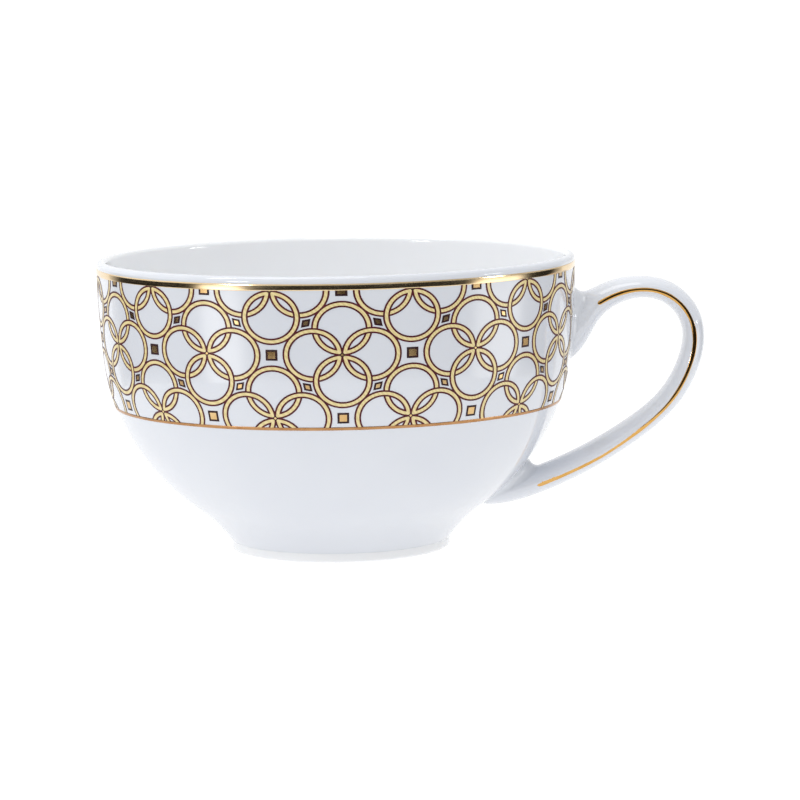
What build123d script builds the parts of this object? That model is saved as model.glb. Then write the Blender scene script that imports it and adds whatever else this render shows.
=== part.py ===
"""A footed bone china teacup with an ear-shaped strap handle, a printed band and gilding.

The cup stands on the plane Z = 0 with its axis on Z, and the handle points along +X. Sizes are in mm.
"""

import os
from math import cos, degrees, radians, sin

from build123d import *

os.makedirs("parts", exist_ok=True)

# Foot ring: a low, plain ring that the cup stands on.
foot_radius = 21.8
foot_height = 1.8
foot_wall = 3.2
foot_edge_round = 0.5

# Bowl: its outside is four tangent arcs, from the foot up to the lip. Slopes are degrees above the horizontal.
flare_radius = 31.7  # hollow curve just above the foot
belly_radius = 45.1
shoulder_radius = 40.2
wall_radius = 220.0
foot_slope = 53.2
belly_slope = 35.5
shoulder_slope = 51.1
wall_slope = 84.2
bowl_wall = 2.0
wall_top = 57.3  # where the wall ends and the half-round lip begins
floor_height = 5.3  # drinking side of the base, on the axis
recess_radius = foot_radius - foot_wall
recess_depth = 0.8  # how far the underside domes up inside the foot ring

# Decoration: thin skins on the glaze. Heights are measured from the table.
skin = 0.12
rim_gilding_bottom = 55.75
rim_gilding_top = 57.0
base_line_bottom = 29.1
base_line_top = 29.7
print_gap = 2.0  # bare glaze between the print and the handle's web

# Handle: the strap's centre line is four tangent arcs in the XZ plane.
strap_start = (47.26, 43.67)
strap_slope = 55.6
# For each arc: radius, turn, its sections as shares of the arc, and half of the thickness at its end.
strap_arcs = [
    (16.7, -57.5, (0.62, 1.0), 2.15),
    (9.95, -98.2, (0.25, 0.5, 0.75, 1.0), 2.20),
    (22.9, -41.7, (0.25, 0.5, 0.75, 1.0), 2.25),
    (81.2, -20.4, (0.25, 0.5, 0.75, 1.0), 2.65),
]
strap_half_width = 4.8
strap_first_half_thickness = 3.0
# The webs that spread onto the bowl: x, z, slope, half of the thickness, half of the width.
upper_web = [
    (45.5, 43.2, 0.0, 6.60, 5.8),
    (47.7, 43.5, -3.0, 6.10, 5.5),
    (49.3, 45.1, 5.0, 4.90, 5.1),
    (51.2, 47.3, 13.0, 3.35, 4.9),
]
lower_web = [
    (32.4, 10.8, 180.0, 2.90, 5.0),
    (27.0, 11.6, 165.0, 2.80, 5.2),
]

# The gilded line along each side of the strap, as shares of the strap's first and last arcs.
handle_line_width = 0.75
handle_line_start = 0.35
handle_line_end = 0.93


def heading(slope):
    """A direction in a profile plane, from its slope."""
    return (cos(radians(slope)), sin(radians(slope)))


def outside_arcs(gap=0.0):
    """The bowl's outside from the foot ring to the lip, moved outwards by gap."""
    outward = heading(foot_slope - 90)
    start = (foot_radius + gap * outward[0], foot_height + gap * outward[1])
    flare = JernArc(start, heading(foot_slope), flare_radius - gap, belly_slope - foot_slope)
    belly = JernArc(flare @ 1, flare % 1, belly_radius + gap, shoulder_slope - belly_slope)
    shoulder = JernArc(belly @ 1, belly % 1, shoulder_radius + gap, wall_slope - shoulder_slope)
    lip_level = Axis((0, wall_top), (1, 0))
    wall = JernArc(shoulder @ 1, shoulder % 1, wall_radius + gap, lip_level)
    return flare, wall


def inside_arcs(lip, wall_turn):
    """The drinking surface, from the lip down to the flat of the floor, one wall inside the outside arcs."""
    wall = JernArc(lip @ 1, lip % 1, wall_radius - bowl_wall, -wall_turn)
    shoulder = JernArc(wall @ 1, wall % 1, shoulder_radius - bowl_wall, shoulder_slope - wall_slope)
    belly = JernArc(shoulder @ 1, shoulder % 1, belly_radius - bowl_wall, belly_slope - shoulder_slope)
    floor_radius = ((belly @ 1).Y - floor_height) / (1 - cos(radians(belly_slope)))
    return JernArc(belly @ 1, belly % 1, floor_radius, -belly_slope)


# The bowl's outside as a filled solid: what the handle and the skins are cut back to.
with BuildPart() as bowl_envelope:
    with BuildSketch(Plane.XZ):
        with BuildLine():
            flare, wall = outside_arcs()
            lip = JernArc(wall @ 1, wall % 1, bowl_wall / 2, 90)
            Polyline(lip @ 1, (0, (lip @ 1).Y), (0, foot_height), flare @ 0)
        make_face()
    revolve(axis=Axis.Z)

# Bowl: outside arcs, a half-round lip, the inside one wall away, and a shallow dome under the base.
with BuildPart() as bowl:
    with BuildSketch(Plane.XZ):
        with BuildLine():
            flare, wall = outside_arcs()
            wall_turn = degrees(wall.length / wall_radius)
            lip = JernArc(wall @ 1, wall % 1, bowl_wall / 2, 180)
            floor = inside_arcs(lip, wall_turn)
            Line(floor @ 1, (0, floor_height))
            Line((0, floor_height), (0, foot_height + recess_depth))
            dome_edge = (recess_radius, foot_height)
            TangentArc((0, foot_height + recess_depth), dome_edge, tangent=(1, 0))
            Line(dome_edge, flare @ 0)
        make_face()
    revolve(axis=Axis.Z)
bowl.part.label = "bowl"
export_step(bowl.part, "parts/bowl.step")

# Foot ring: joined to the flat rim of the bowl's underside, with a rounded edge to stand on.
with BuildPart() as foot_ring:
    with BuildSketch(Plane.XZ):
        with Locations(((foot_radius + recess_radius) / 2, foot_height / 2)):
            Rectangle(foot_wall, foot_height)
    revolve(axis=Axis.Z)
    fillet(foot_ring.edges().group_by(Axis.Z)[0], radius=foot_edge_round)
foot_ring.part.label = "foot_ring"
export_step(foot_ring.part, "parts/foot_ring.step")


def bowl_skin(bottom, top):
    """A thin sleeve on the bowl's outside, between two heights."""
    wider_than_bowl = 3 * belly_radius
    with BuildPart() as sleeve:
        with BuildSketch(Plane.XZ):
            with BuildLine():
                flare, wall = outside_arcs(skin)
                Polyline(wall @ 1, (0, wall_top), (0, foot_height), flare @ 0)
            make_face()
            with Locations((0, (bottom + top) / 2)):
                Rectangle(wider_than_bowl, top - bottom, mode=Mode.INTERSECT)
        revolve(axis=Axis.Z)
        add(bowl_envelope.part, mode=Mode.SUBTRACT)
    return sleeve.part


def strap_path():
    """The strap's centre line in its own plane: four arcs, with heights as Y."""
    point, direction = strap_start, heading(strap_slope)
    arcs = []
    with BuildLine():
        for radius, turn, _, _ in strap_arcs:
            arc = JernArc(point, direction, radius, turn)
            point, direction = arc @ 1, arc % 1
            arcs.append(arc)
    return arcs


def oval(x, z, slope, half_thickness, half_width):
    """One oval section of the handle, square to the given slope."""
    along, up = heading(slope)
    with BuildSketch(Plane(origin=(x, 0, z), x_dir=(0, 1, 0), z_dir=(along, 0, up))) as section:
        Ellipse(half_width, half_thickness)
    return section.sketch


def web_sections(stations, grow):
    """The sections of a web, from its list of stations."""
    sections = []
    for x, z, slope, half_thickness, half_width in stations:
        sections.append(oval(x, z, slope, half_thickness + grow, half_width + grow))
    return sections


def strap_sections(grow):
    """The sections of the strap itself, its thickness changing evenly along each arc."""
    sections = []
    before = strap_first_half_thickness
    for arc, (_, _, shares, after) in zip(strap_path(), strap_arcs):
        for share in shares:
            point = arc @ share
            slope = arc.tangent_angle_at(share)
            half_thickness = before + share * (after - before)
            sections.append(oval(point.X, point.Y, slope, half_thickness + grow, strap_half_width + grow))
        before = after
    return sections


def handle_sections(grow=0.0):
    """The handle's sections from the upper web to the lower one, with its surface moved out by grow."""
    return web_sections(upper_web, grow) + strap_sections(grow) + web_sections(lower_web, grow)


# Handle: an oval strap with its sharper edges at the sides. Its webs run into the bowl, and the bowl is
# taken away from them, so the handle meets the bowl face to face.
with BuildPart() as handle:
    loft(handle_sections())
    add(bowl_envelope.part, mode=Mode.SUBTRACT)
handle.part.label = "handle"
export_step(handle.part, "parts/handle.step")

# Rim gilding: a burnished band on the outside, just under the white lip.
rim_gilding = bowl_skin(rim_gilding_bottom, rim_gilding_top)
rim_gilding.label = "rim_gilding"
export_step(rim_gilding, "parts/rim_gilding.step")

# Base line: a fine gilded line that closes the printed band at the bottom.
base_line = bowl_skin(base_line_bottom, base_line_top)
base_line.label = "base_line"
export_step(base_line, "parts/base_line.step")

# Transfer print: the sleeve that the ring pattern is printed on, cut clear of the handle's upper web.
with BuildPart() as transfer_print:
    add(bowl_skin(base_line_top, rim_gilding_bottom))
    loft(web_sections(upper_web, print_gap), mode=Mode.SUBTRACT)
transfer_print.part.label = "transfer_print"
export_step(transfer_print.part, "parts/transfer_print.step")


def handle_line(side):
    """The gilded line on one side of the strap: side is -1 for the -Y side and 1 for the +Y side."""
    arcs = strap_path()
    arcs[0] = arcs[0].trim(handle_line_start, 1)
    arcs[-1] = arcs[-1].trim(0, handle_line_end)
    with BuildPart() as line:
        with BuildSketch(Plane.XZ):
            trace(arcs, line_width=handle_line_width)
        extrude(amount=-2 * side * strap_half_width)
        loft(handle_sections(skin), mode=Mode.INTERSECT)
        add(handle.part, mode=Mode.SUBTRACT)
    return line.part


# Handle gilding: one brushed line along each side of the strap.
handle_gilding_front = handle_line(-1)
handle_gilding_front.label = "handle_gilding_front"
export_step(handle_gilding_front, "parts/handle_gilding_front.step")

handle_gilding_back = handle_line(1)
handle_gilding_back.label = "handle_gilding_back"
export_step(handle_gilding_back, "parts/handle_gilding_back.step")
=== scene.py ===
"""Looks of the footed teacup: glazed china, a printed band of interlaced rings, and gilding.

Metres throughout, in the CAD frame: the cup stands on Z = 0 and its handle points along +X.
"""

import math

import bmesh
import bpy
import numpy as np
from mathutils import Matrix, Vector, geometry
from mathutils.bvhtree import BVHTree


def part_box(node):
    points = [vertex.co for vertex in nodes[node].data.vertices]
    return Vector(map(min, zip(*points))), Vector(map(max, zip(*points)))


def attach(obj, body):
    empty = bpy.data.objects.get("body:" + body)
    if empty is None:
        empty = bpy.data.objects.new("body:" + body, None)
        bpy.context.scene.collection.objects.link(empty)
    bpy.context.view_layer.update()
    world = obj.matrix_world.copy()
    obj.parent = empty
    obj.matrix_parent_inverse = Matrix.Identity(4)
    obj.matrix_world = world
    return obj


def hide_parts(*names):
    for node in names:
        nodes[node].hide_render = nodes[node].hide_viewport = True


MM = 0.001

# Camera: where it stands from the cup's axis and the table, which way it looks, and its lens.
CAMERA_DISTANCE = 0.717
CAMERA_HEIGHT = 0.1193
CAMERA_YAW = 0.0172
CAMERA_PITCH = 0.1252
CAMERA_ROLL = -0.0166
CAMERA_LENS = 162.6

# Printed band: repeats round the cup, and its turn from the front towards the handle.
REPEATS = 11
PRINT_TURN = 0.0194
BOTTOM_ROW_ABOVE_LINE = 1.8 * MM
# Sizes of the motif, as shares of half a repeat.
RING = math.sqrt(2) - 1
RING_WIDTH = 0.073
OUTLINE = 0.0132
DOT = 0.0185
DOT_OUTLINE = 0.034
BIG_SQUARE = 0.085
BIG_SQUARE_FILL = 0.054
LOZENGE = (0.066, 0.098)
LOZENGE_FILL = 0.5
PETAL_REACH = 0.3
RING_SIDES = 48
PRINT_LIFT = 0.045 * MM
PRINT_ROOT = -0.04 * MM
PRINT_OVERRUN = 0.03 * MM  # how far the print runs under the gold above and below it
GAP_MIDDLE = 43.2 * MM  # height of the middle of the handle's upper root

# Turned bowl: where the wall gives way to the lip, the edge of the flat under the base, its steps round the
# axis, and how far apart its rows are.
LIP_START = 57.3 * MM
LIP_OVERLAP = 0.05 * MM
BASE_FLAT_RADIUS = 18.7 * MM
BOWL_STEPS = 320
WALL_SPACING = 0.8 * MM
LIP_SPACING = 0.12 * MM
BASE_SPACING = 1.5 * MM

# Slip joints between the handle and the bowl: a place inside each root, and the radius of its hollow.
UPPER_ROOT = (46.9 * MM, 0, 43.0 * MM)
UPPER_JOINT = 1.9 * MM
LOWER_ROOT = (31.6 * MM, 0, 10.8 * MM)
LOWER_JOINT = 1.6 * MM
JOINT_STEPS = 144
JOINT_ARC = 12
JOINT_START = 9.0 * MM  # how far from the root the rolling ball sets out
JOINT_ROUNDS = 60  # rounds of settling for each place of the ball
JOINT_DEPTH = 0.25 * MM  # how far the joint's hidden corner is sunk

# Gilding: how far it stands off the glaze, and how far a brushed edge wanders.
GILT_LIFT = 0.07 * MM
GILT_ROOT = -0.05 * MM
EDGE_WANDER = 0.05 * MM
BAND_STEPS = 720
# Handle lines: half of the width, how flat the top is, how far the lower end strays down the strap's flank,
# and how far the brush runs on past the end of the CAD line.
LINE_HALF_WIDTH = 0.41 * MM
LINE_STEPS = 260
LINE_FLATNESS = 0.6
LINE_DROP = 0.6 * MM
LINE_TAIL = 1.6 * MM

# Light: the way the white room is brighter, its least and greatest level, and the floor's size, whiteness
# and glow.
ROOM_LEAN = (-0.60, 0.45, 0.66)
ROOM_LEVELS = (0.37, 1.20)
FLOOR_HALF = 12.0
FLOOR_DROP = 0.02 * MM  # just clear of the foot ring
FLOOR_WHITE = (0.22, 0.222, 0.225, 1)
FLOOR_GLOW = 0.86
LIGHT_DISTANCE = 0.9
LIGHT_TARGET = (0, 0, 0.04)

# Reflection screen: its radius and height, its reach each way from the front in degrees, its dark level, and
# the level that its ends and foot fade to.
SCREEN_RADIUS = 0.16
SCREEN_HEIGHT = 0.055
SCREEN_REACH = 122
SCREEN_DARK = 0.022
SCREEN_EDGE = 0.8
SCREEN_FADE_TURN = 12
SCREEN_FADE_HEIGHT = 0.010
# Its two windows as (middle and half width in degrees, strength), and how high and how soft they are.
WINDOWS = ((-48.5, 9.0, 2.8), (73.0, 13.0, 2.2))
WINDOW_TOP = 0.045
WINDOW_SOFT_HEIGHT = 0.003
WINDOW_SOFT_TURN = 1.6

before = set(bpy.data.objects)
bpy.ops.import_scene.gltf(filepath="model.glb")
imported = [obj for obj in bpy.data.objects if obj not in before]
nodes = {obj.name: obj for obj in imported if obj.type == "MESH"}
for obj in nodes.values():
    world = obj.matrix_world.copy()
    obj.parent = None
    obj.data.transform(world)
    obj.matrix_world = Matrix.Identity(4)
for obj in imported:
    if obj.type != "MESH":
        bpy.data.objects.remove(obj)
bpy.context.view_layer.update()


# ---------------------------------------------------------------- materials


def new_material(name):
    """A material with a Principled shader, and short ways to its nodes, links and shader."""
    material = bpy.data.materials.new(name)
    material.use_nodes = True
    tree = material.node_tree
    return material, tree.nodes, tree.links, tree.nodes["Principled BSDF"]


def noise(tree_nodes, links, scale, detail=2.0, stretch=(1, 1, 1)):
    """A noise texture in object space, in 1/metre."""
    coords = tree_nodes.new("ShaderNodeTexCoord")
    mapping = tree_nodes.new("ShaderNodeMapping")
    mapping.inputs["Scale"].default_value = stretch
    texture = tree_nodes.new("ShaderNodeTexNoise")
    texture.inputs["Scale"].default_value = scale
    texture.inputs["Detail"].default_value = detail
    links.new(coords.outputs["Object"], mapping.inputs["Vector"])
    links.new(mapping.outputs["Vector"], texture.inputs["Vector"])
    return texture


def ramp(tree_nodes, links, source, stops):
    """A colour ramp on a source socket, from (place, colour) stops."""
    node = tree_nodes.new("ShaderNodeValToRGB")
    elements = node.color_ramp.elements
    while len(elements) > 1:
        elements.remove(elements[-1])
    for index, (place, colour) in enumerate(stops):
        element = elements[0] if index == 0 else elements.new(place)
        element.position = place
        element.color = (*colour, 1)
    links.new(source, node.inputs["Fac"])
    return node


def bump(tree_nodes, links, source, shader, distance, strength=1.0):
    """Bump on the shader from a height socket."""
    node = tree_nodes.new("ShaderNodeBump")
    node.inputs["Strength"].default_value = strength
    node.inputs["Distance"].default_value = distance
    links.new(source, node.inputs["Height"])
    links.new(node.outputs["Normal"], shader.inputs["Normal"])
    return node


def china(name, shade, light, dry_foot=False):
    """White bone china under clear glaze: faint clouding in the body, a faint ripple in the glaze."""
    material, tree_nodes, links, shader = new_material(name)
    shader.inputs["IOR"].default_value = 1.5
    shader.inputs["Subsurface Weight"].default_value = 0.12
    shader.inputs["Subsurface Radius"].default_value = (1.0, 0.9, 0.8)
    shader.inputs["Subsurface Scale"].default_value = 1.5 * MM
    shader.inputs["Coat Weight"].default_value = 0.3
    shader.inputs["Coat Roughness"].default_value = 0.02
    clouds = noise(tree_nodes, links, 60.0)
    colour = ramp(tree_nodes, links, clouds.outputs["Fac"], [(0.3, shade), (0.7, light)])
    links.new(colour.outputs["Color"], shader.inputs["Base Color"])
    ripple = noise(tree_nodes, links, 45.0, detail=1.0)
    bump(tree_nodes, links, ripple.outputs["Fac"], shader, 0.10 * MM, 0.3)
    if dry_foot:
        # The ring that the cup stands on is wiped free of glaze.
        coords = tree_nodes.new("ShaderNodeTexCoord")
        split = tree_nodes.new("ShaderNodeSeparateXYZ")
        gloss = tree_nodes.new("ShaderNodeMapRange")
        gloss.inputs["From Min"].default_value, gloss.inputs["From Max"].default_value = -0.95, -0.7
        gloss.inputs["To Min"].default_value, gloss.inputs["To Max"].default_value = 0.6, 0.07
        links.new(coords.outputs["Normal"], split.inputs["Vector"])
        links.new(split.outputs["Z"], gloss.inputs["Value"])
        links.new(gloss.outputs["Result"], shader.inputs["Roughness"])
    else:
        shader.inputs["Roughness"].default_value = 0.05
    return material


def gold(name, colour, tint, streaks=(1, 1, 1), roughness=(0.08, 0.2)):
    """Burnished bright gold: faint streaks in its gloss and in its colour."""
    material, tree_nodes, links, shader = new_material(name)
    shader.inputs["Metallic"].default_value = 1.0
    worn = noise(tree_nodes, links, 500.0, detail=3.0, stretch=streaks)
    colours = ramp(tree_nodes, links, worn.outputs["Fac"], [(0.3, colour), (0.7, tint)])
    links.new(colours.outputs["Color"], shader.inputs["Base Color"])
    gloss = tree_nodes.new("ShaderNodeMapRange")
    gloss.inputs["To Min"].default_value = roughness[0]
    gloss.inputs["To Max"].default_value = roughness[1]
    links.new(worn.outputs["Fac"], gloss.inputs["Value"])
    links.new(gloss.outputs["Result"], shader.inputs["Roughness"])
    bump(tree_nodes, links, worn.outputs["Fac"], shader, 0.02 * MM, 0.4)
    return material


def enamel(name, light, dark):
    """Printed enamel with the fine slanting hatch of its screen."""
    material, tree_nodes, links, shader = new_material(name)
    shader.inputs["Roughness"].default_value = 0.22
    coords = tree_nodes.new("ShaderNodeTexCoord")
    hatch = tree_nodes.new("ShaderNodeTexWave")
    hatch.wave_type = "BANDS"
    hatch.bands_direction = "DIAGONAL"
    hatch.inputs["Scale"].default_value = 620.0
    hatch.inputs["Distortion"].default_value = 0.6
    links.new(coords.outputs["Object"], hatch.inputs["Vector"])
    colours = ramp(tree_nodes, links, hatch.outputs["Fac"], [(0.2, dark), (0.8, light)])
    links.new(colours.outputs["Color"], shader.inputs["Base Color"])
    bump(tree_nodes, links, hatch.outputs["Fac"], shader, 0.01 * MM, 0.3)
    return material


def ink(name, dark, light):
    """Dark printed outline, a little uneven in its depth."""
    material, tree_nodes, links, shader = new_material(name)
    shader.inputs["Roughness"].default_value = 0.4
    shader.inputs["Specular IOR Level"].default_value = 0.25
    depth = noise(tree_nodes, links, 900.0)
    colours = ramp(tree_nodes, links, depth.outputs["Fac"], [(0.35, dark), (0.7, light)])
    links.new(colours.outputs["Color"], shader.inputs["Base Color"])
    return material


# ------------------------------------------------------------------- meshes


def profile_points(side):
    """Points (radius, height) of the CAD bowl's profile, in order: side is outside, inside or under."""
    rings = set()
    for vertex in nodes["bowl"].data.vertices:
        x, y, z = vertex.co
        radius = math.hypot(x, y)
        lean = (vertex.normal.x * x + vertex.normal.y * y) / max(radius, 1e-9)
        below = vertex.normal.z < -0.9 and z < 3 * MM
        where = "under" if below else "outside" if lean > 0.05 and radius > 15 * MM else "inside"
        if where == side:
            rings.add((round(radius, 6), round(z, 6)))
    order = {"outside": lambda p: p[1], "inside": lambda p: p[1] + 0.01 * p[0], "under": lambda p: -p[0]}
    return np.array(sorted(rings, key=order[side]))


def spline(knots, values):
    """A natural cubic spline through the values, as a function that also gives the slope."""
    gap = np.diff(knots)
    count = len(knots)
    system = np.eye(count)
    right = np.zeros(count)
    for i in range(1, count - 1):
        system[i, i - 1 : i + 2] = gap[i - 1], 2 * (gap[i - 1] + gap[i]), gap[i]
        right[i] = 6 * ((values[i + 1] - values[i]) / gap[i] - (values[i] - values[i - 1]) / gap[i - 1])
    bend = np.linalg.solve(system, right)

    def at(where):
        i = np.clip(np.searchsorted(knots, where) - 1, 0, count - 2)
        h = gap[i]
        a, b = (knots[i + 1] - where) / h, (where - knots[i]) / h
        value = a * values[i] + b * values[i + 1]
        value = value + ((a**3 - a) * bend[i] + (b**3 - b) * bend[i + 1]) * h * h / 6
        slope = (values[i + 1] - values[i]) / h
        slope = slope + ((3 * b * b - 1) * bend[i + 1] - (3 * a * a - 1) * bend[i]) * h / 6
        return value, slope

    return at


def bowl_outside():
    """The bowl's outside radius and its slope at any height of the band."""
    low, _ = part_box("base_line")
    _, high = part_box("rim_gilding")
    points = profile_points("outside")
    near = (points[:, 1] > low.z - 6 * MM) & (points[:, 1] < high.z + 0.35 * MM)
    points = points[near]
    fresh = np.concatenate([[True], np.diff(points[:, 1]) > 0.2 * MM])
    return spline(points[fresh, 1], points[fresh, 0])


OUTSIDE = bowl_outside()


def on_bowl(azimuth, height, lift):
    """Points on the bowl's outside: azimuth from -Y towards +X, height, and distance off the glaze."""
    radius, slope = OUTSIDE(np.asarray(height, float))
    steep = np.hypot(1.0, slope)
    radius = radius + lift / steep
    level = height - lift * slope / steep
    return np.stack([radius * np.sin(azimuth), -radius * np.cos(azimuth), level + 0 * radius], axis=-1)


def mesh_object(name, vertices, faces, materials, face_materials=None):
    """A new object from vertices and faces."""
    mesh = bpy.data.meshes.new(name)
    mesh.from_pydata([tuple(v) for v in vertices], [], faces)
    for material in materials:
        mesh.materials.append(material)
    if face_materials is not None:
        mesh.polygons.foreach_set("material_index", face_materials)
    mesh.validate()
    mesh.update()
    obj = bpy.data.objects.new(name, mesh)
    bpy.context.scene.collection.objects.link(obj)
    return obj


def face_outward(obj):
    """Turns every face of a closed mesh outwards."""
    work = bmesh.new()
    work.from_mesh(obj.data)
    bmesh.ops.recalc_face_normals(work, faces=work.faces)
    work.to_mesh(obj.data)
    work.free()


def shade_smooth(obj, sharp_angle):
    """Smooth shading, with edges sharper than the angle kept."""
    mesh = obj.data
    mesh.polygons.foreach_set("use_smooth", [True] * len(mesh.polygons))
    mesh.set_sharp_from_angle(angle=math.radians(sharp_angle))


def ring_sides():
    """Directions to the corners of a printed ring."""
    turns = np.arange(RING_SIDES) * 2 * math.pi / RING_SIDES
    return np.stack([np.cos(turns), np.sin(turns)], axis=-1)


def reach(x, y):
    """Distance from a ring's centre, measured so that each of its many-sided outlines has one value."""
    step = 2 * math.pi / RING_SIDES
    turn = np.mod(np.arctan2(y, x), step) - step / 2
    return np.hypot(x, y) * np.cos(turn) / math.cos(step / 2)


def motif_places(first, last):
    """Rows of the pattern: ring nodes and big squares between two columns, each as (column, row)."""
    ring_nodes, squares = [], []
    for column in range(math.floor(first) - 1, math.ceil(last) + 2):
        for row in (-1, 0, 1):
            even = (column + row) % 2 == 0
            (ring_nodes if even else squares).append((column, row))
    return ring_nodes, squares


def lozenge_places(first, last):
    """Small lozenges, each as (column, row, which way its link slants)."""
    places = []
    for column in range(math.floor(first) - 1, math.ceil(last) + 1):
        for row in (-0.5, 0.5):
            slant = 1 if (column + int(row - 0.5)) % 2 == 0 else -1
            places.append((column + 0.5, row, slant))
    return places


def square_loop(column, row, half):
    """Corners of an upright square."""
    return [(column + x * half, row + y * half) for x, y in ((-1, -1), (1, -1), (1, 1), (-1, 1))]


def lozenge_loop(column, row, slant, share):
    """Corners of a lozenge, its short way along the link."""
    short, long = (half * share / math.sqrt(2) for half in LOZENGE)
    along, across = (short, slant * short), (long, -slant * long)
    corners = (along, across, (-along[0], -along[1]), (-across[0], -across[1]))
    return [(column + x, row + y) for x, y in corners]


RING_CENTRES = {"top": (0, RING), "left": (-RING, 0), "right": (RING, 0), "bottom": (0, -RING)}
ENAMEL, MAROON, BLACK, FILL = range(4)


def class_of_rings(x, y):
    """What the four rings of one node print at points about it: -1 for bare glaze."""
    inner = RING - RING_WIDTH
    printed = np.full(x.shape, -1)
    away = {side: reach(x - cx, y - cy) for side, (cx, cy) in RING_CENTRES.items()}
    for side in ("top", "left", "right", "bottom"):
        d = away[side]
        covers = (d > inner - OUTLINE) & (d < RING + OUTLINE)
        line = (abs(d - inner) < OUTLINE) | (abs(d - RING) < OUTLINE)
        printed[covers] = ENAMEL
        printed[covers & line] = MAROON
    # Where petals run into their node, the two rings of a petal share one band of enamel.
    band = np.zeros(x.shape, bool)
    line = np.zeros(x.shape, bool)
    for side, d in away.items():
        others = [away[other] for other in away if other != side]
        inside_other = np.zeros(x.shape, bool)
        for other in others:
            inside_other |= (other > inner + OUTLINE) & (other < RING - OUTLINE)
        band |= (d > inner) & (d < RING)
        line |= abs(d - RING) < OUTLINE
        line |= (abs(d - inner) < OUTLINE) & ~inside_other
    near = np.hypot(x, y) < PETAL_REACH
    printed[near & band] = ENAMEL
    printed[near & ~band & ~line] = -1
    printed[near & line] = MAROON
    dot = reach(x, y)
    printed[dot < DOT_OUTLINE] = BLACK
    printed[dot < DOT] = FILL
    return printed


def classify(points, first, last):
    """What is printed at each point of the pattern's plane."""
    printed = np.full(len(points), -1)
    ring_nodes, squares = motif_places(first, last)
    for column, row in ring_nodes:
        x, y = points[:, 0] - column, points[:, 1] - row
        close = np.flatnonzero((abs(x) < 1) & (abs(y) < 1))
        here = class_of_rings(x[close], y[close])
        printed[close[here >= 0]] = here[here >= 0]
    for column, row in squares:
        away = np.maximum(abs(points[:, 0] - column), abs(points[:, 1] - row))
        printed[away < BIG_SQUARE] = BLACK
        printed[away < BIG_SQUARE_FILL] = FILL
    for column, row, slant in lozenge_places(first, last):
        x, y = points[:, 0] - column, points[:, 1] - row
        short = abs(x + slant * y) / math.sqrt(2) / LOZENGE[0]
        long = abs(x - slant * y) / math.sqrt(2) / LOZENGE[1]
        printed[short + long < 1] = BLACK
        printed[short + long < LOZENGE_FILL] = FILL
    return printed


def pattern_lines(first, last, low, high, gap):
    """Every line of the pattern's plane as points and edges: motifs, ends, and the gap at the handle."""
    points, edges = [], []

    def loop(corners):
        start = len(points)
        count = len(corners)
        points.extend((float(x), float(y)) for x, y in corners)
        edges.extend((start + i, start + (i + 1) % count) for i in range(count))

    sides = ring_sides()
    ring_nodes, squares = motif_places(first, last)
    for column, row in ring_nodes:
        for cx, cy in RING_CENTRES.values():
            for radius in (RING, RING - RING_WIDTH):
                for half in (-OUTLINE, OUTLINE):
                    loop(sides * (radius + half) + (column + cx, row + cy))
        for radius in (DOT, DOT_OUTLINE):
            loop(sides[::4] * radius + (column, row))
    for column, row in squares:
        loop(square_loop(column, row, BIG_SQUARE))
        loop(square_loop(column, row, BIG_SQUARE_FILL))
    for column, row, slant in lozenge_places(first, last):
        loop(lozenge_loop(column, row, slant, 1.0))
        loop(lozenge_loop(column, row, slant, LOZENGE_FILL))
    loop([(first, low), (last, low), (last, high), (first, high)])
    for column in (first, last):
        loop(sides * (gap[2], gap[3]) + (column, gap[1]))
    return points, edges


def handle_gap(pitch, row_height, column):
    """The bare oval round the handle's upper root, in the pattern's plane, from the CAD print's opening."""
    co = np.array([v.co for v in nodes["transfer_print"].data.vertices])
    low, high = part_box("transfer_print")
    near = 1.0 * MM
    inset = 2 * MM
    front = co[co[:, 0] > 0.9 * high.x]
    beside = front[abs(front[:, 2] - GAP_MIDDLE) < near]
    level = (front[:, 2] > low.z + inset) & (front[:, 2] < high.z - inset)
    above = front[(abs(front[:, 1]) < near) & level]
    half_width = abs(beside[:, 1]).min()
    top, bottom = above[:, 2].max(), above[:, 2].min()
    row = row_height(1) - row_height(0)
    turn = math.asin(half_width / high.x) / pitch
    return column, ((top + bottom) / 2 - row_height(0)) / row, turn, (top - bottom) / 2 / row


def transfer(materials):
    """The printed band: one thin closed mesh of rings, outlines, squares and lozenges, on the bowl."""
    box_low, box_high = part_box("transfer_print")
    top_row = box_high.z
    bottom_row = box_low.z + BOTTOM_ROW_ABOVE_LINE
    pitch = math.pi / REPEATS

    def row_height(row):
        return (top_row + bottom_row) / 2 + row * (top_row - bottom_row) / 2

    last = (math.pi / 2 - PRINT_TURN) / pitch
    first = last - 2 * REPEATS
    low = (box_low.z - PRINT_OVERRUN - row_height(0)) / (row_height(1) - row_height(0))
    high = (box_high.z + PRINT_OVERRUN - row_height(0)) / (row_height(1) - row_height(0))
    gap = handle_gap(pitch, row_height, last)
    points, edges = pattern_lines(first, last, low, high, gap)
    flat, _, faces, _, _, _ = geometry.delaunay_2d_cdt([Vector(p) for p in points], edges, [], 0, 1e-7)
    flat = np.array([(p.x, p.y) for p in flat])
    faces = np.array(faces)
    centres = flat[faces].mean(axis=1)
    printed = classify(centres, first, last)
    bare = (centres[:, 0] < first) | (centres[:, 0] > last) | (centres[:, 1] < low) | (centres[:, 1] > high)
    for column in (first, last):
        bare |= reach((centres[:, 0] - column) / gap[2], (centres[:, 1] - gap[1]) / gap[3]) < 1
    kept = (printed >= 0) & ~bare
    faces, printed = faces[kept], printed[kept]
    return wrap_print("transfer_rings", flat, faces, printed, pitch, row_height, (first, last), materials)


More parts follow.
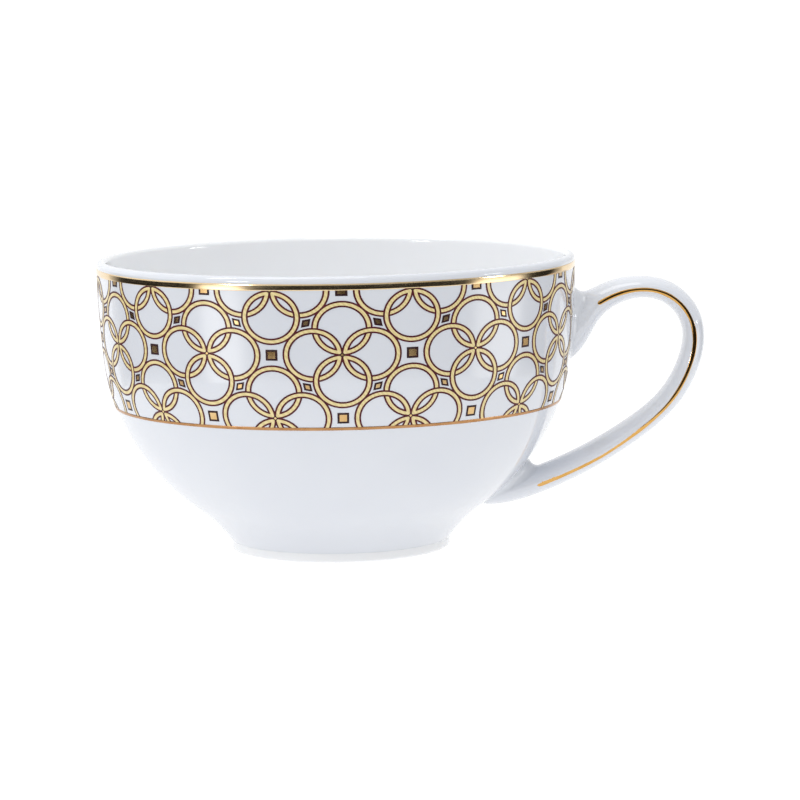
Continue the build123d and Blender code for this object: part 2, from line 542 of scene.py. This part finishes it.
def wrap_print(name, flat, faces, printed, pitch, row_height, ends, materials):
    """Wraps flat faces on the bowl as a closed layer: lifted tops, sunk undersides, walls at the edges."""
    first, last = ends
    across = flat[:, 0].copy()
    across[abs(across - last) < 1e-5] = first
    key = np.round(np.stack([across, flat[:, 1]], axis=1), 6)
    _, welded = np.unique(key, axis=0, return_inverse=True)
    welded = welded.ravel()
    faces = welded[faces]
    count = welded.max() + 1
    place = np.zeros((count, 2))
    place[welded] = np.stack([across, flat[:, 1]], axis=1)
    sound = (faces[:, 0] != faces[:, 1]) & (faces[:, 1] != faces[:, 2]) & (faces[:, 2] != faces[:, 0])
    faces, printed = faces[sound], printed[sound]
    azimuth = PRINT_TURN + place[:, 0] * pitch
    height = row_height(place[:, 1])
    vertices = np.concatenate([on_bowl(azimuth, height, PRINT_LIFT), on_bowl(azimuth, height, PRINT_ROOT)])
    owner = {}
    for index, (a, b, c) in enumerate(faces):
        for edge in ((a, b), (b, c), (c, a)):
            owner[edge] = index
    walls, wall_print = [], []
    for (a, b), index in owner.items():
        if (b, a) not in owner:
            walls.append((b, a, a + count, b + count))
            wall_print.append(printed[index])
    under = faces[:, ::-1] + count
    all_faces = [tuple(map(int, f)) for f in faces]
    all_faces += [tuple(map(int, f)) for f in under]
    all_faces += [tuple(map(int, f)) for f in walls]
    classes = np.concatenate([printed, printed, wall_print]).astype(np.int32)
    obj = mesh_object(name, vertices, all_faces, materials, classes)
    loose = bmesh.new()
    loose.from_mesh(obj.data)
    bmesh.ops.delete(loose, geom=[v for v in loose.verts if not v.link_faces], context="VERTS")
    loose.to_mesh(obj.data)
    loose.free()
    shade_smooth(obj, 30)
    return obj


def resample(points, spacing):
    """A profile through the points, its new points about spacing apart."""
    run = np.concatenate([[0], np.cumsum(np.hypot(*np.diff(points, axis=0).T))])
    fresh = np.concatenate([[True], np.diff(run) > 1e-5])
    points, run = points[fresh], run[fresh]
    even = np.linspace(0, run[-1], max(2, round(run[-1] / spacing)) + 1)
    return np.stack([spline(run, points[:, 0])(even)[0], spline(run, points[:, 1])(even)[0]], axis=-1)


def turned_bowl(outer, inner):
    """The bowl turned finely from the CAD bowl's own profile, so that its gloss runs clean."""
    outside, inside, under = (profile_points(side) for side in ("outside", "inside", "under"))
    inside = np.concatenate([[[0.0, inside[0, 1]]], inside[inside[:, 0] > 0.5 * MM]])
    lip_outside = outside[outside[:, 1] > LIP_START - LIP_OVERLAP]
    lip_inside = inside[inside[:, 1] > LIP_START - LIP_OVERLAP]
    lip = np.concatenate([lip_outside, lip_inside[::-1]])
    wall = outside[outside[:, 1] <= LIP_START + LIP_OVERLAP]
    cavity = inside[inside[:, 1] <= LIP_START + LIP_OVERLAP]
    drinking_side = resample(cavity, WALL_SPACING)
    profile = np.concatenate(
        [
            drinking_side[1:],
            resample(lip[::-1], LIP_SPACING)[1:],
            resample(wall[::-1], WALL_SPACING)[1:],
            resample(under[under[:, 0] < BASE_FLAT_RADIUS], BASE_SPACING)[:-1],
        ]
    )
    steps = BOWL_STEPS
    turns = np.arange(steps) * 2 * math.pi / steps
    way = np.stack([np.sin(turns), -np.cos(turns), np.zeros(steps)], axis=-1)
    rows = [radius * way + (0, 0, z) for radius, z in profile]
    poles = [(0.0, 0.0, float(cavity[0, 1])), (0.0, 0.0, float(under[:, 1].max()))]
    vertices = np.concatenate(rows + [poles])
    count = len(rows)
    faces = []
    for row in range(count - 1):
        here, after = row * steps, (row + 1) * steps
        for step in range(steps):
            right = (step + 1) % steps
            faces.append((here + step, here + right, after + right, after + step))
    for step in range(steps):
        right = (step + 1) % steps
        faces.append((right, step, count * steps))
        faces.append(((count - 1) * steps + step, (count - 1) * steps + right, count * steps + 1))
    # The drinking side has the second material, the same glaze made lighter as painted light: its rows, and
    # the fan at the middle of the floor, which is every second face after the rows.
    drinking_rows = len(drinking_side) + len(lip) // 2
    inner_faces = [int(face < drinking_rows * steps) for face in range(len(faces))]
    inner_faces[(count - 1) * steps :: 2] = [1] * steps
    obj = mesh_object("bowl_glazed", vertices, faces, [outer, inner], inner_faces)
    face_outward(obj)
    shade_smooth(obj, 50)
    return obj


def joint_fillet(name, bowl_piece, centre, radius, material):
    """A hollow joint round one root of the handle, left by a ball that rolls on the handle and the bowl."""
    depsgraph = bpy.context.evaluated_depsgraph_get()
    bowl_tree = BVHTree.FromObject(bowl_piece, depsgraph)
    handle_tree = BVHTree.FromObject(nodes["handle"], depsgraph)
    start, out, _, _ = bowl_tree.find_nearest(Vector(centre))
    side = Vector((0, 1, 0))
    rise = out.cross(side).normalized()
    settle = 0.6
    rows = []
    for step in range(JOINT_STEPS):
        turn = 2 * math.pi * step / JOINT_STEPS
        away = side * math.cos(turn) + rise * math.sin(turn)
        across = out.cross(away)
        ball = start + away * JOINT_START + out * radius
        for _ in range(JOINT_ROUNDS):
            on_bowl_point, bowl_normal, _, _ = bowl_tree.find_nearest(ball)
            on_handle, _, _, _ = handle_tree.find_nearest(ball)
            from_handle = ball - on_handle
            handle_normal = from_handle.normalized()
            ball += (radius - (ball - on_bowl_point).dot(bowl_normal)) * settle * bowl_normal
            ball += (radius - from_handle.length) * settle * handle_normal
            ball -= across * (ball - start).dot(across)
        to_bowl = (on_bowl_point - ball).normalized()
        to_handle = (on_handle - ball).normalized()
        corner = ball + (to_bowl + to_handle) * (radius / (1 + to_bowl.dot(to_handle)))
        row = []
        for point in range(JOINT_ARC + 1):
            way = to_bowl.slerp(to_handle, point / JOINT_ARC, to_bowl)
            row.append(ball + way * (radius + 0.01 * MM))
        rows.append([*row, corner + (to_bowl + to_handle) * JOINT_DEPTH])
    wide = JOINT_ARC + 2
    vertices = [point for row in rows for point in row]
    faces = []
    for row in range(JOINT_STEPS):
        here, after = row * wide, (row + 1) % JOINT_STEPS * wide
        for column in range(wide):
            right = (column + 1) % wide
            faces.append((here + column, here + right, after + right, after + column))
    obj = mesh_object(name, vertices, faces, [material])
    face_outward(obj)
    shade_smooth(obj, 40)
    return obj


def wander(turns, seed):
    """A small smooth wandering round the cup, from -1 to 1."""
    waves = ((3, 0.9), (7, 0.7), (13, 0.8), (29, 0.5), (53, 0.35), (97, 0.2))
    total = 0
    for index, (count, share) in enumerate(waves):
        total = total + share * np.sin(count * turns + seed * (index + 1.7))
    return total / sum(share for _, share in waves)


def gilt_band(name, node, material, wander_low, wander_high, seed):
    """A brushed band of gold round the bowl, thin at its edges, where the CAD band is."""
    low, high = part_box(node)
    steps = BAND_STEPS
    turns = np.arange(steps) * 2 * math.pi / steps
    bottom = low.z + wander_low * wander(turns, seed)
    top = high.z + wander_high * wander(turns, seed + 5.0)
    # The section, as (share of the width, lift): up one edge, over the top and down the other edge.
    edge = [(0.0, GILT_ROOT), (0.0, 0.35 * GILT_LIFT), (0.08, 0.85 * GILT_LIFT), (0.25, GILT_LIFT)]
    across = [*edge, (0.5, GILT_LIFT), *((1 - share, lift) for share, lift in reversed(edge))]
    rows = [on_bowl(turns, bottom + share * (top - bottom), lift) for share, lift in across]
    vertices = np.concatenate(rows)
    faces = []
    count = len(rows)
    for row in range(count):
        here, after = row * steps, (row + 1) % count * steps
        for step in range(steps):
            right = (step + 1) % steps
            faces.append((here + step, here + right, after + right, after + step))
    obj = mesh_object(name, vertices, faces, [material])
    shade_smooth(obj, 40)
    return obj


def handle_centre_line(node):
    """Points in XZ along the middle of the CAD line on one side of the strap, from the upper end down."""
    co = np.array([v.co for v in nodes[node].data.vertices])
    low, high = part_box("handle")
    finger = np.array([(low.x + 2 * high.x) / 3 - 1.0 * MM, (low.z + high.z) / 2 + 4.0 * MM])
    flat = co[:, (0, 2)] - finger
    turn = np.arctan2(flat[:, 1], flat[:, 0])
    distance = np.hypot(flat[:, 0], flat[:, 1])
    bins = np.linspace(turn.max(), turn.min(), 61)
    line = []
    for upper, lower in zip(bins[:-1], bins[1:]):
        inside = (turn <= upper) & (turn >= lower)
        if inside.any():
            middle = (distance[inside].max() + distance[inside].min()) / 2
            angle = (upper + lower) / 2
            line.append(finger + middle * np.array([math.cos(angle), math.sin(angle)]))
    return np.array(line)


def smooth_line(line, steps):
    """A line resampled evenly and smoothed."""
    for _ in range(6):
        line[1:-1] = (line[:-2] + 2 * line[1:-1] + line[2:]) / 4
    run = np.concatenate([[0], np.cumsum(np.hypot(*np.diff(line, axis=0).T))])
    even = np.linspace(0, run[-1], steps)
    return np.stack([np.interp(even, run, line[:, 0]), np.interp(even, run, line[:, 1])], axis=-1), run[-1]


def gilt_line(name, node, side, material):
    """A brushed line of gold along the strap, tapered at its ends: side is -1 or 1, for -Y or +Y."""
    steps = LINE_STEPS
    line = handle_centre_line(node)
    tail = line[-1] - line[-6]
    line, length = smooth_line(np.vstack([line, line[-1] + tail / np.hypot(*tail) * LINE_TAIL]), steps)
    along = np.gradient(line, axis=0)
    along /= np.hypot(along[:, 0], along[:, 1])[:, None]
    across = np.stack([-along[:, 1], along[:, 0]], axis=-1)
    share = np.linspace(0, 1, steps)
    run = share * length
    start_round = np.clip(run / (0.5 * MM), 0, 1)
    end_round = np.clip((length - run) / (0.9 * MM), 0, 1)
    width = LINE_HALF_WIDTH * (1 - (1 - start_round) ** 2) ** 0.5 * (1 - (1 - end_round) ** 2) ** 0.5
    width *= 1 - 0.18 * np.exp(-(((share - 0.62) / 0.16) ** 2))
    width *= 1 + 0.05 * np.sin(share * 41.0 + side) + 0.03 * np.sin(share * 97.0)
    width = np.maximum(width, 0.03 * MM)
    sink = LINE_DROP * np.clip((share - 0.45) / 0.35, 0, 1)
    line = line + across * sink[:, None]
    strap = BVHTree.FromObject(nodes["handle"], bpy.context.evaluated_depsgraph_get())
    shares = (-1.0, -0.96, -0.8, -0.4, 0.0, 0.4, 0.8, 0.96, 1.0)
    lifts = (0.1, 0.5, 0.9, 1.0, 1.0, 1.0, 0.9, 0.5, 0.1)
    tops, roots = [], []
    for index in range(steps):
        hits = []
        for offset in shares:
            x, z = line[index] + across[index] * width[index] * offset
            hit, normal, _, _ = strap.ray_cast(Vector((x, side * 0.02, z)), Vector((0, -side, 0)))
            hits.append(hit)
            roots.append(hit + normal * GILT_ROOT)
        ridge = hits[len(hits) // 2].y
        for hit, lift in zip(hits, lifts):
            flatter = hit.y + LINE_FLATNESS * lift * (ridge - hit.y)
            tops.append(Vector((hit.x, flatter + side * 0.6 * GILT_LIFT * lift, hit.z)))
    wide = len(shares)
    count = steps * wide
    faces = []
    for row in range(steps - 1):
        for column in range(wide - 1):
            a = row * wide + column
            faces.append((a, a + 1, a + wide + 1, a + wide))
            faces.append((a + count, a + wide + count, a + wide + 1 + count, a + 1 + count))
        here, after = row * wide, (row + 1) * wide
        for a, b in ((here, after), (after + wide - 1, here + wide - 1)):
            faces.append((a, b, b + count, a + count))
    for column in range(wide - 1):
        a = column
        faces.append((a + 1, a, a + count, a + 1 + count))
        b = (steps - 1) * wide + column
        faces.append((b, b + 1, b + 1 + count, b + count))
    obj = mesh_object(name, tops + roots, faces, [material])
    face_outward(obj)
    shade_smooth(obj, 45)
    return obj


# -------------------------------------------------------------------- stage


def pale_floor():
    """A plain pale table that runs to the horizon and glows a little."""
    corners = [(x * FLOOR_HALF, y * FLOOR_HALF, 0) for x, y in ((-1, -1), (1, -1), (1, 1), (-1, 1))]
    material, _, _, shader = new_material("white_table")
    shader.inputs["Base Color"].default_value = FLOOR_WHITE
    shader.inputs["Roughness"].default_value = 0.9
    shader.inputs["Specular IOR Level"].default_value = 0.1
    shader.inputs["Emission Color"].default_value = (1, 1, 1, 1)
    shader.inputs["Emission Strength"].default_value = FLOOR_GLOW
    floor = mesh_object("table", corners, [(0, 1, 2, 3)], [material])
    floor.location.z = -FLOOR_DROP


def reflection_screen():
    """A curved dark screen round the front of the cup with two bright windows, seen only in reflections."""
    steps, levels = 240, 16
    turns = np.linspace(-SCREEN_REACH, SCREEN_REACH, steps)
    heights = np.linspace(0.0, SCREEN_HEIGHT, levels)
    vertices, glow = [], []
    for height in heights:
        for turn in turns:
            a = math.radians(turn)
            vertices.append((SCREEN_RADIUS * math.sin(a), -SCREEN_RADIUS * math.cos(a), height))
            level = SCREEN_DARK
            for middle, half, strength in WINDOWS:
                share = 1 / (1 + math.exp((abs(turn - middle) - half) / WINDOW_SOFT_TURN))
                low = 1 / (1 + math.exp((height - WINDOW_TOP) / WINDOW_SOFT_HEIGHT))
                level += strength * share * low
            end = 1 - (SCREEN_REACH - abs(turn)) / SCREEN_FADE_TURN
            edge = min(1.0, max(0.0, end, 1 - height / SCREEN_FADE_HEIGHT))
            glow.append(level + max(0.0, SCREEN_EDGE - level) * edge)
    faces = []
    for row in range(levels - 1):
        for column in range(steps - 1):
            a = row * steps + column
            faces.append((a, a + 1, a + steps + 1, a + steps))
    material = bpy.data.materials.new("reflection_screen")
    material.use_nodes = True
    tree = material.node_tree
    tree.nodes.clear()
    level = tree.nodes.new("ShaderNodeAttribute")
    level.attribute_name = "glow"
    light = tree.nodes.new("ShaderNodeEmission")
    light.inputs["Color"].default_value = (1.0, 0.97, 0.94, 1)
    out = tree.nodes.new("ShaderNodeOutputMaterial")
    tree.links.new(level.outputs["Fac"], light.inputs["Strength"])
    tree.links.new(light.outputs["Emission"], out.inputs["Surface"])
    screen = mesh_object("reflection_screen", vertices, faces, [material])
    attribute = screen.data.attributes.new("glow", "FLOAT", "POINT")
    attribute.data.foreach_set("value", glow)
    screen.visible_camera = False
    screen.visible_diffuse = False
    screen.visible_shadow = False
    screen.visible_transmission = False


def softbox(name, azimuth, elevation, size, power, colour, gloss_only=True):
    """A soft light aimed at the cup, not seen itself: angles in degrees, azimuth from the front."""
    data = bpy.data.lights.new(name, "AREA")
    data.shape = "RECTANGLE"
    data.size, data.size_y = size
    data.energy = power
    data.color = colour
    light = bpy.data.objects.new(name, data)
    bpy.context.scene.collection.objects.link(light)
    a, e = math.radians(azimuth), math.radians(elevation)
    way = Vector((math.sin(a) * math.cos(e), -math.cos(a) * math.cos(e), math.sin(e)))
    light.location = way * LIGHT_DISTANCE + Vector(LIGHT_TARGET)
    light.rotation_mode = "QUATERNION"
    light.rotation_quaternion = way.to_track_quat("Z", "Y")
    light.visible_camera = False
    light.visible_diffuse = not gloss_only


def white_room():
    """White light from all round, stronger from the left and from above."""
    world = bpy.data.worlds.new("white_room")
    bpy.context.scene.world = world
    world.use_nodes = True
    tree = world.node_tree
    background = tree.nodes["Background"]
    background.inputs["Color"].default_value = (0.985, 0.99, 1.0, 1)
    coords = tree.nodes.new("ShaderNodeTexCoord")
    lean = tree.nodes.new("ShaderNodeVectorMath")
    lean.operation = "DOT_PRODUCT"
    lean.inputs[1].default_value = ROOM_LEAN
    level = tree.nodes.new("ShaderNodeMapRange")
    level.inputs["From Min"].default_value = -1.0
    level.inputs["To Min"].default_value, level.inputs["To Max"].default_value = ROOM_LEVELS
    tree.links.new(coords.outputs["Generated"], lean.inputs[0])
    tree.links.new(lean.outputs["Value"], level.inputs["Value"])
    tree.links.new(level.outputs["Result"], background.inputs["Strength"])


def camera():
    """The camera at the picture's viewing angle."""
    data = bpy.data.cameras.new("camera")
    data.lens = CAMERA_LENS
    data.sensor_width = 36
    data.clip_start = 0.01
    data.clip_end = 60
    cam = bpy.data.objects.new("camera", data)
    bpy.context.scene.collection.objects.link(cam)
    level_ahead = Vector((math.sin(CAMERA_YAW), math.cos(CAMERA_YAW), 0))
    forward = level_ahead * math.cos(CAMERA_PITCH) - Vector((0, 0, math.sin(CAMERA_PITCH)))
    level_right = Vector((math.cos(CAMERA_YAW), -math.sin(CAMERA_YAW), 0))
    level_up = level_right.cross(forward)
    right = level_right * math.cos(CAMERA_ROLL) + level_up * math.sin(CAMERA_ROLL)
    up = level_up * math.cos(CAMERA_ROLL) - level_right * math.sin(CAMERA_ROLL)
    turn = Matrix((right, up, -forward)).transposed()
    cam.matrix_world = Matrix.Translation((0, -CAMERA_DISTANCE, CAMERA_HEIGHT)) @ turn.to_4x4()
    bpy.context.scene.camera = cam


# --------------------------------------------------------------------- cup


def dress(node, material):
    """Gives a CAD node its material."""
    for slot in nodes[node].material_slots:
        slot.material = material


def add_piece(obj, replaced):
    """Attaches a new piece that stands for a CAD node to the root body, and hides that node."""
    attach(obj, "root")
    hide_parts(replaced)


camera()
white_room()
pale_floor()
reflection_screen()
softbox("softbox_left", -46, 6, (0.16, 0.13), 1.1, (1.0, 0.99, 0.98))
softbox("softbox_right", 78, 6, (0.16, 0.13), 0.8, (0.97, 0.98, 1.0))
softbox("softbox_side", -80, 54, (0.14, 0.14), 1.0, (1.0, 1.0, 1.0))
softbox("softbox_above", -90, 82, (0.5, 0.5), 1.8, (1.0, 1.0, 1.0), gloss_only=False)

# The inside and the foot are lighter than the outside, in place of light that the stage doesn't give them.
glaze = china("china_glaze", (0.720, 0.743, 0.795), (0.742, 0.765, 0.812))
inside_painted_light_glaze = china("china_inside_painted_light", (0.915, 0.925, 0.942), (0.925, 0.935, 0.950))
foot_glaze_painted_light = china("china_foot_painted_light", (0.92, 0.93, 0.945), (0.93, 0.94, 0.955), dry_foot=True)
bowl_piece = turned_bowl(glaze, inside_painted_light_glaze)
add_piece(bowl_piece, "bowl")
dress("handle", glaze)
# The foot's colour is painted light, lighter than the outside glaze; its dry standing ring is the real
# unglazed foot.
dress("foot_ring", foot_glaze_painted_light)
upper = joint_fillet("upper_joint", bowl_piece, UPPER_ROOT, UPPER_JOINT, glaze)
lower = joint_fillet("lower_joint", bowl_piece, LOWER_ROOT, LOWER_JOINT, glaze)
for joint in (upper, lower):
    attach(joint, "root")

rim_gold = gold("rim_gold", (0.80, 0.60, 0.34), (0.88, 0.70, 0.45), streaks=(0.25, 0.25, 2.0))
line_gold = gold("line_gold", (0.42, 0.21, 0.085), (0.52, 0.285, 0.13), roughness=(0.2, 0.35))
handle_gold = gold("handle_gold", (0.66, 0.36, 0.09), (0.74, 0.44, 0.15), roughness=(0.06, 0.14))
print_gold = gold("print_gold", (0.66, 0.42, 0.18), (0.80, 0.58, 0.30), roughness=(0.18, 0.32))
print_materials = [
    enamel("cream_enamel", (0.84, 0.70, 0.36), (0.75, 0.61, 0.285)),
    ink("maroon_ink", (0.070, 0.006, 0.012), (0.105, 0.010, 0.020)),
    ink("black_ink", (0.022, 0.006, 0.007), (0.045, 0.011, 0.012)),
    print_gold,
]

add_piece(transfer(print_materials), "transfer_print")
rim = gilt_band("rim_band", "rim_gilding", rim_gold, EDGE_WANDER, 0.3 * EDGE_WANDER, 1.0)
add_piece(rim, "rim_gilding")
base = gilt_band("base_band", "base_line", line_gold, 0.6 * EDGE_WANDER, 0.6 * EDGE_WANDER, 3.0)
add_piece(base, "base_line")
for side, word in ((-1, "front"), (1, "back")):
    line = gilt_line(f"handle_line_{word}", f"handle_gilding_{word}", side, handle_gold)
    add_piece(line, f"handle_gilding_{word}")

bpy.context.scene.view_settings.view_transform = "Standard"
